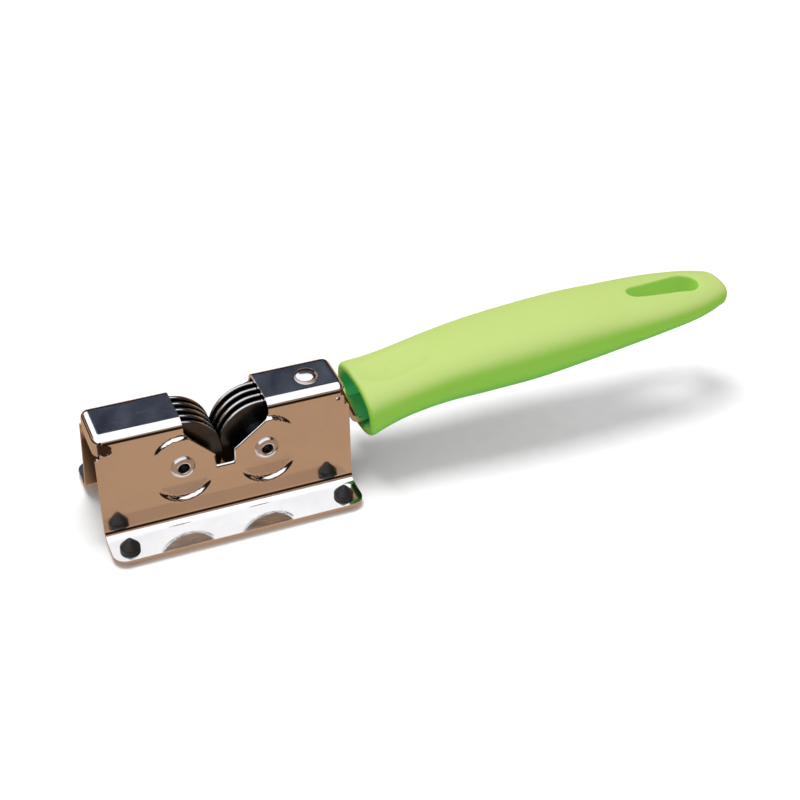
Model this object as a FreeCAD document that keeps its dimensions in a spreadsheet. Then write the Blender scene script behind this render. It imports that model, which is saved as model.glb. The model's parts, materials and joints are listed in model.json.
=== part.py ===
"""Hand-held knife sharpener: two interleaved stacks of steel discs in a folded sheet-steel
housing on four rubber feet, with a moulded handle held by a steel tang.

Frame: +X runs from the housing's open end to the handle's tip, -Y is the front wall, +Z is up.
The origin is under the middle of the whole tool, on the surface that its feet stand on.
Places along the tool are measured from the housing's open end, in millimetres, and every
sub-part's Placement moves it back by half the overall length.
"""

import FreeCAD, Part
import math
import os

import Sketcher
from FreeCAD import Placement, Rotation, Vector

doc = FreeCAD.newDocument("roller_sharpener")

# ------------------------------------------------------------------ driving dimensions

DIMENSIONS = {
    "overall_length": 180.8,       # housing's open end to the handle's tip
    # folded housing
    "sheet_gauge": 0.9,            # thickness of the housing's sheet
    "housing_length": 65.0,
    "housing_top": 29.7,           # height of the top plate above the table
    "flange_top": 2.1,             # height of the flanges' upper faces
    "top_half_width": 7.5,         # half the width over the walls at the top plate
    "base_half_width": 10.6,       # half the width over the walls at the flanges
    "flange_reach": 10.0,          # width of each flange outside its wall
    "fold_radius": 3.0,            # outside radius of the folds along the top plate
    "foot_fold_radius": 2.8,       # radius in the corner between wall and flange
    "flange_corner": 3.4,          # corner radius of the flanges
    "lip_start": 2.2,              # how far from each end the top plate starts to fold down
    "lip_half_width": 5.4,
    "lip_fold_radius": 2.0,        # outside radius of the folds over the two ends
    "open_lip_height": 5.0,        # upright lip at the open end
    "lip_clearance": 0.2,          # between that lip's edge and the walls below it
    "tail_lip_angle": 68.0,        # sloping lip at the handle end
    "tail_lip_length": 12.0,
    "relief_radius": 1.5,          # holes beside the lips, at the ends of the folds
    "relief_drop": 2.9,            # depth of their centres under the top plate
    # round bosses pressed into the walls around the axles
    "boss_radius": 8.0,
    "boss_bevel": 2.0,             # reach of the 45 degree border, past where it meets the wall
    # notch for the blade
    "notch_start": 21.9,
    "notch_end": 43.7,
    "notch_shoulder": 25.6,        # height where the notch's sides start to converge
    "notch_inset": 0.8,            # how far the shoulders stand in from the notch's sides
    "slot_middle": 31.9,
    "slot_width": 4.6,
    "slot_shoulder": 18.7,         # height where the slot's upright sides start
    "slot_floor": 15.2,
    # axles, discs and spacers
    "left_axle": 21.0,
    "right_axle": 42.6,
    "axle_height": 17.3,
    "axle_radius": 2.1,
    "axle_bore": 1.45,
    "axle_head_radius": 3.1,
    "axle_head_height": 1.0,
    "axle_head_slope": 0.9,        # how far the rolled rim slopes inwards
    "axle_head_edge": 0.25,        # height of the rim's upright edge
    "disc_radius": 11.2,
    "disc_gauge": 1.2,
    "disc_chamfer": 0.12,
    "disc_pitch": 2.7,             # distance between neighbouring discs of one stack
    "radial_play": 0.03,           # of a disc on its axle
    "side_play": 0.02,             # between a disc and the spacer beside it
    "spacer_radius": 3.4,
    # rubber feet
    "foot_inset": 4.6,             # from the end of the flange
    "foot_offset": 16.4,           # from the middle plane
    "foot_pad_radius": 2.7,
    "foot_stem_radius": 1.9,
    "foot_nub_radius": 2.5,
    "foot_nub_height": 3.1,
    "foot_nub_rim": 0.5,           # height of the cone's upright rim
    "foot_nub_tip": 0.6,
    "foot_edge": 0.3,              # bevel around the pad and around the cone's tip
    # tang and its rivet
    "tang_gauge": 1.4,
    "tang_half_width": 4.8,
    "tang_start": 49.0,
    "tang_drop": 13.5,             # length of the steep stretch between the two bends
    "tang_rise": 9.2,              # slope of the stretch inside the handle, in degrees
    "tang_end": 128.0,
    "tang_bend_radius": 1.2,       # inside radius of the lower bend
    "rivet_place": 56.4,
    "rivet_shank": 1.6,
    "rivet_head_radius": 3.0,
    "rivet_head_height": 1.3,
    "rivet_tail_radius": 2.5,
    "rivet_tail_height": 0.8,
    # handle
    "mouth_wall": 2.6,
    "mouth_round": 1.6,            # rounding of the mouth's outer edge
    "mouth_tilt": 5.0,             # lean of the mouth's face, its top towards the housing
    "tang_slot_play": 0.05,
    "tang_slot_spare": 0.6,        # length of the slot past the tang's end
    "hang_start": 152.0,           # centre of the hanging slot's narrow end
    "hang_end": 167.9,             # centre of its round end
    "hang_narrow": 1.8,            # radius of the narrow end
    "hang_wide": 3.4,              # radius of the round end
    "hang_round": 0.8,             # rounding of the slot's rims
    "thumb_place": 81.0,
    "thumb_depth": 0.9,
    "thumb_half_length": 10.5,
    "thumb_half_width": 5.4,
}

# Cross-sections of the handle: place, height of its centre, half width, half height.
HANDLE_SECTIONS = [
    (69.6, 18.5, 12.4, 7.8),
    (75.0, 19.8, 11.65, 7.05),
    (82.0, 21.4, 11.3, 6.7),
    (92.0, 23.2, 11.6, 6.95),
    (104.0, 24.4, 12.3, 7.55),
    (118.0, 25.4, 12.65, 7.85),
    (132.0, 26.7, 12.5, 7.35),
    (146.0, 27.7, 11.95, 6.2),
    (158.0, 28.5, 11.2, 5.2),
    (168.0, 28.9, 9.7, 4.5),
    (175.0, 29.2, 7.5, 3.9),
    (178.2, 29.2, 5.4, 3.2),
    (180.1, 29.0, 2.9, 2.0),
    (180.8, 29.0, 0.9, 0.7),
]
MOUTH_SECTIONS = 3                 # the mouth's recess runs through this many of them

LEFT_DISCS = 5
RIGHT_DISCS = 4

for number, (place, middle, half_width, half_height) in enumerate(HANDLE_SECTIONS, 1):
    DIMENSIONS[f"section_{number}_place"] = place
    DIMENSIONS[f"section_{number}_middle"] = middle
    DIMENSIONS[f"section_{number}_half_width"] = half_width
    DIMENSIONS[f"section_{number}_half_height"] = half_height

sheet = doc.addObject("Spreadsheet::Sheet", "dims")
for row, (alias, number) in enumerate(DIMENSIONS.items(), 1):
    sheet.set(f"A{row}", alias.replace("_", " "))
    sheet.set(f"B{row}", str(number))
    sheet.setAlias(f"B{row}", alias)
doc.recompute()


class Size:
    """A number together with the spreadsheet expression that works it out."""

    def __init__(self, value, text=None):
        self.value = float(value)
        self.text = repr(self.value) if text is None else text

    def joined(self, sign, other, value):
        return Size(value, f"({self.text} {sign} {other.text})")

    def __add__(self, other):
        other = size(other)
        return self.joined("+", other, self.value + other.value)

    def __sub__(self, other):
        other = size(other)
        return self.joined("-", other, self.value - other.value)

    def __mul__(self, other):
        other = size(other)
        return self.joined("*", other, self.value * other.value)

    def __truediv__(self, other):
        other = size(other)
        return self.joined("/", other, self.value / other.value)

    def __radd__(self, other):
        return size(other) + self

    def __rsub__(self, other):
        return size(other) - self

    def __rmul__(self, other):
        return size(other) * self

    def __neg__(self):
        return Size(-self.value, f"(-1 * {self.text})")


def size(item):
    """Any number as a Size."""
    return item if isinstance(item, Size) else Size(item)


def dim(alias):
    """The Size held in the spreadsheet's cell of this name."""
    return Size(DIMENSIONS[alias], f"dims.{alias}")


def sine(degrees):
    return Size(math.sin(math.radians(degrees.value)), f"sin({degrees.text} * 1 deg)")


def cosine(degrees):
    return Size(math.cos(math.radians(degrees.value)), f"cos({degrees.text} * 1 deg)")


def tangent(degrees):
    return Size(math.tan(math.radians(degrees.value)), f"tan({degrees.text} * 1 deg)")


def bind(item, prop, value):
    """Gives a property its size, kept up to date by the spreadsheet."""
    item.setExpression(prop, size(value).text)


# ------------------------------------------------------------------ feature helpers

def new_body(label, x=0, y=0, z=0):
    """A body whose own origin lies at this place of the tool."""
    body = doc.addObject("PartDesign::Body", label)
    body.Label = label
    bind(body, "Placement.Base.x", size(x) - dim("overall_length") / 2)
    bind(body, "Placement.Base.y", y)
    bind(body, "Placement.Base.z", z)
    return body


def origin_plane(body, role):
    for item in body.Origin.OriginFeatures:
        if item.Role == role:
            return item
    raise ValueError(role)


def attach(item, body, role, x=0, y=0, z=0):
    """Attaches to an origin plane, moved by x and y in that plane and by z along its normal."""
    item.AttachmentSupport = (origin_plane(body, role), "")
    item.MapMode = "FlatFace"
    bind(item, "AttachmentOffset.Base.x", x)
    bind(item, "AttachmentOffset.Base.y", y)
    bind(item, "AttachmentOffset.Base.z", z)


def new_sketch(body, name, role, x=0, y=0, z=0):
    sketch = body.newObject("Sketcher::SketchObject", name)
    attach(sketch, body, role, x, y, z)
    return sketch


def hold_point(sketch, geometry, point, x, y):
    """Fixes one point of a sketch's geometry at a bound distance from the sketch's origin."""
    for kind, distance in (("DistanceX", x), ("DistanceY", y)):
        distance = size(distance)
        rule = Sketcher.Constraint(kind, -1, 1, geometry, point, distance.value)
        index = sketch.addConstraint(rule)
        bind(sketch, f"Constraints[{index}]", distance)


def draw_outline(sketch, points):
    """A closed outline of straight lines through bound points."""
    points = [(size(x), size(y)) for x, y in points]
    places = [Vector(x.value, y.value, 0) for x, y in points]
    first = sketch.GeometryCount
    count = len(points)
    for index in range(count):
        line = Part.LineSegment(places[index], places[(index + 1) % count])
        sketch.addGeometry(line)
    for index in range(count):
        following = first + (index + 1) % count
        joint = Sketcher.Constraint("Coincident", first + index, 2, following, 1)
        sketch.addConstraint(joint)
        hold_point(sketch, first + index, 1, *points[index])


def draw_circle(sketch, radius, x=0, y=0):
    radius, x, y = size(radius), size(x), size(y)
    circle = Part.Circle(Vector(x.value, y.value, 0), Vector(0, 0, 1), radius.value)
    geometry = sketch.addGeometry(circle)
    index = sketch.addConstraint(Sketcher.Constraint("Radius", geometry, radius.value))
    bind(sketch, f"Constraints[{index}]", radius)
    hold_point(sketch, geometry, 3, x, y)


def draw_ellipse(sketch, half_width, half_height, x=0, y=0):
    """An ellipse whose long axis lies along the sketch's X axis."""
    half_width, half_height, x, y = (size(item) for item in (half_width, half_height, x, y))
    middle = Vector(x.value, y.value, 0)
    side = middle + Vector(half_width.value, 0, 0)
    crown = middle + Vector(0, half_height.value, 0)
    geometry = sketch.addGeometry(Part.Ellipse(side, crown, middle))
    sketch.exposeInternalGeometry(geometry)
    long_axis, short_axis = geometry + 1, geometry + 2
    hold_point(sketch, long_axis, 1, x + half_width, y)
    hold_point(sketch, long_axis, 2, x - half_width, y)
    crown_rule = Sketcher.Constraint("Distance", short_axis, 2 * half_height.value)
    index = sketch.addConstraint(crown_rule)
    bind(sketch, f"Constraints[{index}]", 2 * half_height)


def pad(body, sketch, length, name, symmetric=False):
    feature = body.newObject("PartDesign::Pad", name)
    feature.Profile = sketch
    bind(feature, "Length", length)
    feature.Midplane = symmetric
    return feature


def pocket(body, sketch, name):
    """Cuts the sketch right through, both ways; the volume has to fall."""
    doc.recompute()
    before = body.Shape.Volume
    feature = body.newObject("PartDesign::Pocket", name)
    feature.Profile = sketch
    feature.Type = "ThroughAll"
    feature.Midplane = True
    doc.recompute()
    if body.Shape.Volume >= before:
        raise RuntimeError(f"{name} cuts nothing")
    return feature


def revolve(body, sketch, name):
    """Turns the sketch about its own upright axis."""
    feature = body.newObject("PartDesign::Revolution", name)
    feature.Profile = sketch
    feature.ReferenceAxis = (sketch, ["V_Axis"])
    feature.Angle = 360
    return feature


def edges_where(shape, test):
    """Names of the edges whose ends and middle all pass a test."""
    names = []
    for index, edge in enumerate(shape.Edges, 1):
        start, end = edge.ParameterRange
        points = [vertex.Point for vertex in edge.Vertexes]
        points.append(edge.valueAt((start + end) / 2))
        if all(test(point) for point in points):
            names.append(f"Edge{index}")
    return names


def near(x, z, reach=0.05):
    """A test for points on the line along Y through this x and z of the body."""
    def test(point):
        return math.hypot(point.x - x.value, point.z - z.value) < reach
    return test


def round_edges(body, radius, name, test, kind="PartDesign::Fillet"):
    """Rounds, or chamfers, the edges of the body's last feature that pass a test."""
    doc.recompute()
    base = body.Tip
    names = edges_where(base.Shape, test)
    if not names:
        raise RuntimeError(f"{name} finds no edges")
    feature = body.newObject(kind, name)
    feature.Base = (base, names)
    bind(feature, "Size" if kind.endswith("Chamfer") else "Radius", radius)
    return feature


# ------------------------------------------------------------------ places worked out once

gauge = dim("sheet_gauge")
top = dim("housing_top")
length = dim("housing_length")
wall_lean = (dim("base_half_width") - dim("top_half_width")) / (top - dim("flange_top"))
boss_face = dim("top_half_width") + wall_lean * (top - dim("axle_height"))
AXLES = {"left": dim("left_axle"), "right": dim("right_axle")}


# ------------------------------------------------------------------ housing

def channel(body, inset, reach, floor):
    """The housing's cross-section, drawn in from its outer face by an inset, as a solid."""
    lean = wall_lean * inset
    crest = top - inset
    shelf = dim("flange_top") - inset
    crest_half = dim("top_half_width") - inset + lean
    shelf_half = dim("base_half_width") - inset + lean
    half = [(reach, floor), (reach, shelf), (shelf_half, shelf), (crest_half, crest)]
    mirrored = [(-y, z) for y, z in reversed(half)]
    sketch = new_sketch(body, body.Name + "_section", "YZ_Plane")
    draw_outline(sketch, half + mirrored)
    pad(body, sketch, length, body.Name + "_run")

    def on_line(half_width, height):
        def test(point):
            gap = math.hypot(abs(point.y) - half_width.value, point.z - height.value)
            return gap < 0.01
        return test

    round_edges(body, dim("fold_radius") - inset, body.Name + "_folds",
                on_line(crest_half, crest))
    round_edges(body, dim("foot_fold_radius") + inset, body.Name + "_foot_folds",
                on_line(shelf_half, shelf))
    bosses(body, inset)


def bosses(body, inset):
    """Flat upright rounds in the leaning walls: proud at the top, sunk at the bottom."""
    face = boss_face - inset
    bevel = dim("boss_bevel")
    miter = inset * math.tan(math.radians(22.5))
    proud = dim("boss_radius") - miter
    sunk = dim("boss_radius") + miter
    for side, x in AXLES.items():
        cones = [
            ("AdditiveCone", "front_proud", face - bevel, proud + bevel, proud),
            ("AdditiveCone", "rear_proud", -face, proud, proud + bevel),
            ("SubtractiveCone", "front_sunk", face, sunk, sunk + bevel),
            ("SubtractiveCone", "rear_sunk", -face - bevel, sunk + bevel, sunk),
        ]
        for kind, name, offset, near_radius, far_radius in cones:
            cone = body.newObject(f"PartDesign::{kind}", f"{body.Name}_{side}_{name}")
            attach(cone, body, "XZ_Plane", x, dim("axle_height"), offset)
            bind(cone, "Radius1", near_radius)
            bind(cone, "Radius2", far_radius)
            bind(cone, "Height", bevel)
            doc.recompute()


def strip_outline(start, corner, drop, slope, thickness):
    """A strip that runs level to a corner and then down a slope, with its outer face first."""
    miter = thickness * tangent(slope / 2)
    down_x, down_z = cosine(slope), -sine(slope)
    outer_x, outer_z = corner
    inner_x, inner_z = outer_x - miter, outer_z - thickness
    tip_x, tip_z = outer_x + drop * down_x, outer_z + drop * down_z
    return [
        (start, outer_z),
        (outer_x, outer_z),
        (tip_x, tip_z),
        (tip_x - thickness * sine(slope), tip_z - thickness * cosine(slope)),
        (inner_x, inner_z),
        (start, inner_z),
    ]


def make_housing():
    body = new_body("housing")
    inside = doc.addObject("PartDesign::Body", "housing_inside")
    flange_edge = dim("base_half_width") + dim("flange_reach")
    channel(body, size(0), flange_edge, dim("flange_top") - gauge)
    channel(inside, gauge, flange_edge + 1, size(-1))
    hollow = body.newObject("PartDesign::Boolean", "housing_hollow")
    hollow.Type = "Cut"
    hollow.setObjects([inside])
    doc.recompute()

    def is_corner(point):
        at_end = min(abs(point.x), abs(point.x - length.value)) < 0.01
        return at_end and abs(abs(point.y) - flange_edge.value) < 0.01
    round_edges(body, dim("flange_corner"), "flange_corners", is_corner)

    # Blade notch, axle holes and relief holes all run through both walls.
    half_slot = dim("slot_width") / 2
    middle = dim("slot_middle")
    notch = new_sketch(body, "notch_outline", "XZ_Plane")
    draw_outline(notch, [
        (dim("notch_start"), top + 1),
        (dim("notch_start"), dim("notch_shoulder") + 1),
        (dim("notch_start") + dim("notch_inset"), dim("notch_shoulder")),
        (middle - half_slot, dim("slot_shoulder")),
        (middle - half_slot, dim("slot_floor")),
        (middle + half_slot, dim("slot_floor")),
        (middle + half_slot, dim("slot_shoulder")),
        (dim("notch_end") - dim("notch_inset"), dim("notch_shoulder")),
        (dim("notch_end"), dim("notch_shoulder") + 1),
        (dim("notch_end"), top + 1),
    ])
    pocket(body, notch, "notch")

    holes = new_sketch(body, "axle_hole_outline", "XZ_Plane")
    for x in AXLES.values():
        draw_circle(holes, dim("axle_radius"), x, dim("axle_height"))
    pocket(body, holes, "axle_holes")

    lip_start = dim("lip_start")
    clear_z = top - dim("open_lip_height") - dim("lip_clearance")
    ends = new_sketch(body, "end_clearance_outline", "XZ_Plane")
    for inner, outer in ((lip_start, size(-1)), (length - lip_start, length + 1)):
        draw_outline(ends, [(inner, top + 1), (outer, top + 1), (outer, clear_z), (inner, clear_z)])
    pocket(body, ends, "end_clearance")
    reliefs = new_sketch(body, "relief_outline", "XZ_Plane")
    for x in (lip_start, length - lip_start):
        draw_circle(reliefs, dim("relief_radius"), x, top - dim("relief_drop"))
    pocket(body, reliefs, "relief_holes")

    feet = new_sketch(body, "foot_hole_outline", "XY_Plane")
    for x, y in foot_places():
        draw_circle(feet, dim("foot_stem_radius"), x, y)
    draw_circle(feet, dim("rivet_shank"), dim("rivet_place"), 0)
    pocket(body, feet, "foot_and_rivet_holes")

    # The two lips: upright at the open end, sloping towards the handle at the other.
    upright = size(90)
    open_lip = strip_outline(-lip_start - 1, (size(0), top), dim("open_lip_height"),
                             upright, gauge)
    open_lip = [(-x, z) for x, z in open_lip]
    tail_lip = strip_outline(length - lip_start - 1, tail_corner(), dim("tail_lip_length"),
                             dim("tail_lip_angle"), gauge)
    for name, points in (("open_lip", open_lip), ("tail_lip", tail_lip)):
        outline = new_sketch(body, f"{name}_outline", "XZ_Plane")
        draw_outline(outline, points)
        pad(body, outline, 2 * dim("lip_half_width"), name, symmetric=True)
        outer, inner = points[1], points[4]
        round_edges(body, dim("lip_fold_radius"), f"{name}_outer_fold", near(*outer))
        round_edges(body, dim("lip_fold_radius") - gauge, f"{name}_inner_fold", near(*inner))
    return body


def tail_corner():
    """Where the top plate's face would meet the sloping lip's, had it no fold."""
    reach = dim("lip_fold_radius") * tangent(dim("tail_lip_angle") / 2)
    return length - dim("lip_start") + reach, top


def foot_places():
    for x in (dim("foot_inset"), length - dim("foot_inset")):
        for y in (-dim("foot_offset"), dim("foot_offset")):
            yield x, y


# ------------------------------------------------------------------ axles, discs, spacers

def make_axle(side):
    """A hollow axle with both ends rolled over like an eyelet."""
    body = new_body(f"{side}_axle", AXLES[side], 0, dim("axle_height"))
    head, rim = boss_face + dim("axle_head_height"), dim("axle_head_radius")
    half = [
        (dim("axle_bore"), head),
        (rim - dim("axle_head_slope"), head),
        (rim, boss_face + dim("axle_head_edge")),
        (rim, boss_face),
        (dim("axle_radius"), boss_face),
    ]
    mirrored = [(radius, -along) for radius, along in reversed(half)]
    profile = new_sketch(body, f"{side}_axle_profile", "XY_Plane")
    draw_outline(profile, half + mirrored)
    revolve(body, profile, f"{side}_axle_tube")
    return body


def make_ring(label, side, along, thickness, outer, bore, chamfer=None):
    """A flat ring around an axle, centred this far along it."""
    body = new_body(label, AXLES[side], along, dim("axle_height"))
    face = new_sketch(body, f"{label}_face", "XZ_Plane")
    draw_circle(face, outer)
    draw_circle(face, bore)
    pad(body, face, thickness, f"{label}_blank", symmetric=True)
    if chamfer:
        def on_rim(point):
            return abs(math.hypot(point.x, point.z) - outer.value) < 0.01
        round_edges(body, chamfer, f"{label}_rim", on_rim, "PartDesign::Chamfer")
    return body


def make_stack(side, count):
    """Discs evenly spaced about the middle plane, a spacer in each gap and one at each end."""
    pitch = dim("disc_pitch")
    play = dim("side_play")
    half_gauge = dim("disc_gauge") / 2
    bore = dim("axle_radius") + dim("radial_play")
    middles = [pitch * (index - (count - 1) / 2) for index in range(count)]
    parts = []
    for index, along in enumerate(middles, 1):
        parts.append(make_ring(f"{side}_disc_{index}", side, along, dim("disc_gauge"),
                               dim("disc_radius"), bore, dim("disc_chamfer")))
    inner_wall = boss_face - gauge
    walls = [-inner_wall - half_gauge] + middles + [inner_wall + half_gauge]
    for index, (before, after) in enumerate(zip(walls, walls[1:]), 1):
        start = before + half_gauge + play
        end = after - half_gauge - play
        parts.append(make_ring(f"{side}_spacer_{index}", side, (start + end) / 2, end - start,
                               dim("spacer_radius"), dim("axle_radius")))
    return parts


# ------------------------------------------------------------------ rubber feet

def make_foot(label, x, y):
    """A pad, a stem through the flange and a pointed cone that was pulled through the hole."""
    body = new_body(label, x, y)
    under = dim("flange_top") - gauge
    above = dim("flange_top")
    tip = above + dim("foot_nub_height")
    edge = dim("foot_edge")
    profile = new_sketch(body, f"{label}_profile", "XZ_Plane")
    draw_outline(profile, [
        (0, 0),
        (dim("foot_pad_radius") - edge, 0),
        (dim("foot_pad_radius"), edge),
        (dim("foot_pad_radius"), under),
        (dim("foot_stem_radius"), under),
        (dim("foot_stem_radius"), above),
        (dim("foot_nub_radius"), above),
        (dim("foot_nub_radius"), above + dim("foot_nub_rim")),
        (dim("foot_nub_tip"), tip - edge),
        (dim("foot_nub_tip") - edge, tip),
        (0, tip),
    ])
    revolve(body, profile, f"{label}_moulding")
    return body


# ------------------------------------------------------------------ tang and rivet

def tang_outline():
    """Both faces of the tang: under the top plate, down along the sloping lip, then back."""
    slope, rise = dim("tail_lip_angle"), dim("tang_rise")
    thickness = dim("tang_gauge")
    corner_x, corner_z = tail_corner()
    half_turn = tangent(slope / 2)
    upper_x, upper_z = corner_x - gauge * half_turn, corner_z - gauge
    lower_x, lower_z = upper_x - thickness * half_turn, upper_z - thickness
    bend_x = upper_x + dim("tang_drop") * cosine(slope)
    bend_z = upper_z - dim("tang_drop") * sine(slope)
    overrun = thickness * tangent((slope + rise) / 2)
    under_x = bend_x - thickness * sine(slope) + overrun * cosine(slope)
    under_z = bend_z - thickness * cosine(slope) - overrun * sine(slope)
    end_z = bend_z + (dim("tang_end") - bend_x) * tangent(rise)
    end_x = dim("tang_end")
    return [
        (dim("tang_start"), upper_z),
        (upper_x, upper_z),
        (bend_x, bend_z),
        (end_x, end_z),
        (end_x + thickness * sine(rise), end_z - thickness * cosine(rise)),
        (under_x, under_z),
        (lower_x, lower_z),
        (dim("tang_start"), lower_z),
    ]


def make_tang():
    body = new_body("tang")
    outline = tang_outline()
    profile = new_sketch(body, "tang_profile", "XZ_Plane")
    draw_outline(profile, outline)
    pad(body, profile, 2 * dim("tang_half_width"), "tang_strip", symmetric=True)
    fold = dim("lip_fold_radius") - gauge
    bend = dim("tang_bend_radius")
    thickness = dim("tang_gauge")
    round_edges(body, fold, "upper_bend_outside", near(*outline[1]))
    round_edges(body, bend, "lower_bend_inside", near(*outline[2]))
    round_edges(body, bend + thickness, "lower_bend_outside", near(*outline[5]))
    hole = new_sketch(body, "tang_hole_outline", "XY_Plane")
    draw_circle(hole, dim("rivet_shank"), dim("rivet_place"), 0)
    pocket(body, hole, "rivet_hole")
    return body


def make_rivet():
    body = new_body("tang_rivet", dim("rivet_place"), 0, top)
    tail = -(gauge + dim("tang_gauge"))
    profile = new_sketch(body, "rivet_profile", "XZ_Plane")
    draw_outline(profile, [
        (0, dim("rivet_head_height")),
        (dim("rivet_head_radius"), dim("rivet_head_height")),
        (dim("rivet_head_radius"), 0),
        (dim("rivet_shank"), 0),
        (dim("rivet_shank"), tail),
        (dim("rivet_tail_radius"), tail),
        (dim("rivet_tail_radius"), tail - dim("rivet_tail_height")),
        (0, tail - dim("rivet_tail_height")),
    ])
    revolve(body, profile, "rivet_turning")

    def on_crown(point):
        return abs(point.z - dim("rivet_head_height").value) < 0.01
    round_edges(body, dim("rivet_head_height") - 0.15, "rivet_dome", on_crown)
    return body


# ------------------------------------------------------------------ handle

def section_sketch(body, number, name, inset=0):
    """One elliptical cross-section of the handle, drawn in by an inset; the mouth's leans."""
    prefix = f"section_{number}_"
    sketch = new_sketch(body, name, "YZ_Plane", 0, dim(prefix + "middle"), dim(prefix + "place"))
    if number == 1:
        tilt = dim("mouth_tilt")
        turn = Rotation(Vector(-1, 0, 0), tilt.value)
        sketch.AttachmentOffset = Placement(sketch.AttachmentOffset.Base, turn)
        bind(sketch, "AttachmentOffset.Rotation.Angle", tilt)
    draw_ellipse(sketch, dim(prefix + "half_width") - inset, dim(prefix + "half_height") - inset)
    return sketch


def loft(body, kind, sketches, name):
    feature = body.newObject(f"PartDesign::{kind}", name)
    feature.Profile = sketches[0]
    feature.Sections = sketches[1:]
    feature.Ruled = False
    doc.recompute()
    return feature


def make_handle():
    body = new_body("handle")
    numbers = range(1, len(HANDLE_SECTIONS) + 1)
    loft(body, "AdditiveLoft",
         [section_sketch(body, number, f"section_{number}") for number in numbers], "grip")
    recess = [section_sketch(body, number, f"recess_{number}", dim("mouth_wall"))
              for number in range(1, MOUTH_SECTIONS + 1)]
    loft(body, "SubtractiveLoft", recess, "mouth_recess")

    # Slot that the tang is pressed into, along the same slope.
    outline = tang_outline()
    play = dim("tang_slot_play")
    slot = new_sketch(body, "tang_slot_outline", "XZ_Plane")
    (bend_x, bend_z), (end_x, end_z) = outline[2], outline[3]
    depth = dim("tang_gauge") / cosine(dim("tang_rise")) + 2 * play
    far_x = end_x + dim("tang_slot_spare")
    far_z = end_z + dim("tang_slot_spare") * tangent(dim("tang_rise")) + play
    draw_outline(slot, [
        (bend_x, bend_z + play),
        (far_x, far_z),
        (far_x, far_z - depth),
        (bend_x, bend_z + play - depth),
    ])
    doc.recompute()
    before = body.Shape.Volume
    cut = body.newObject("PartDesign::Pocket", "tang_slot")
    cut.Profile = slot
    cut.Type = "Length"
    cut.Midplane = True
    bind(cut, "Length", 2 * (dim("tang_half_width") + play))
    doc.recompute()
    if body.Shape.Volume >= before:
        raise RuntimeError("tang_slot cuts nothing")

    hang_slot(body)
    thumb_dent(body)

    place, middle, half_width, half_height = HANDLE_SECTIONS[0]
    lean = math.radians(dim("mouth_tilt").value)

    def on_mouth(point):
        forth, rise = point.x - place, point.z - middle
        off_plane = forth * math.cos(lean) + rise * math.sin(lean)
        up = (rise * math.cos(lean) - forth * math.sin(lean)) / half_height
        return abs(off_plane) < 0.01 and abs(math.hypot(point.y / half_width, up) - 1) < 0.02
    round_edges(body, dim("mouth_round"), "mouth_rim", on_mouth)
    return body


def hang_slot(body):
    """A drop-shaped slot for hanging the tool up: two arcs and their common tangents."""
    start, end = dim("hang_start"), dim("hang_end")
    narrow, wide = dim("hang_narrow"), dim("hang_wide")
    spread = math.asin((wide.value - narrow.value) / (end.value - start.value))
    sketch = new_sketch(body, "hang_outline", "XY_Plane")

    def on_circle(x, radius, angle):
        return Vector(x.value + radius.value * math.cos(angle), radius.value * math.sin(angle), 0)

    side = math.pi / 2 + spread
    narrow_arc = Part.ArcOfCircle(Part.Circle(Vector(start.value, 0, 0), Vector(0, 0, 1),
                                              narrow.value), side, 2 * math.pi - side)
    wide_arc = Part.ArcOfCircle(Part.Circle(Vector(end.value, 0, 0), Vector(0, 0, 1),
                                            wide.value), -side, side)
    sketch.addGeometry([
        narrow_arc,
        wide_arc,
        Part.LineSegment(on_circle(start, narrow, side), on_circle(end, wide, side)),
        Part.LineSegment(on_circle(start, narrow, -side), on_circle(end, wide, -side)),
    ])
    for arc, line, arc_point, line_point in ((0, 2, 1, 1), (1, 2, 2, 2), (0, 3, 2, 1), (1, 3, 1, 2)):
        sketch.addConstraint(Sketcher.Constraint("Tangent", arc, arc_point, line, line_point))
    for arc, radius, x in ((0, narrow, start), (1, wide, end)):
        index = sketch.addConstraint(Sketcher.Constraint("Radius", arc, radius.value))
        bind(sketch, f"Constraints[{index}]", radius)
        hold_point(sketch, arc, 3, x, 0)
    pocket(body, sketch, "hanging_slot")

    middle, half_height = dim("section_10_middle").value, dim("section_10_half_height").value

    def on_rim(point):
        within = start.value - 2 * narrow.value < point.x < end.value + 2 * wide.value
        on_face = abs(point.z - middle) > half_height / 2
        return within and on_face and abs(point.y) < wide.value + 0.1
    round_edges(body, dim("hang_round"), "hanging_slot_rims", on_rim)


def thumb_dent(body):
    """A shallow oval dent in the top of the handle, behind its mouth."""
    place = dim("thumb_place").value
    below = [row for row in HANDLE_SECTIONS if row[0] <= place][-1]
    above = [row for row in HANDLE_SECTIONS if row[0] > place][0]
    share = (place - below[0]) / (above[0] - below[0])
    crest_before, crest_after = below[1] + below[3], above[1] + above[3]
    crest = crest_before + share * (crest_after - crest_before)
    slope = math.degrees(math.atan2(crest_after - crest_before, above[0] - below[0]))
    dent = body.newObject("PartDesign::SubtractiveEllipsoid", "thumb_dent")
    dent.AttachmentSupport = (origin_plane(body, "XY_Plane"), "")
    dent.MapMode = "FlatFace"
    turn = Rotation(Vector(0, 1, 0), -slope)
    dent.AttachmentOffset = Placement(Vector(place, 0, crest), turn)
    bind(dent, "AttachmentOffset.Base.x", dim("thumb_place"))
    bind(dent, "Radius1", dim("thumb_depth"))
    bind(dent, "Radius2", dim("thumb_half_length"))
    bind(dent, "Radius3", dim("thumb_half_width"))
    doc.recompute()


# ------------------------------------------------------------------ build, check and write

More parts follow.
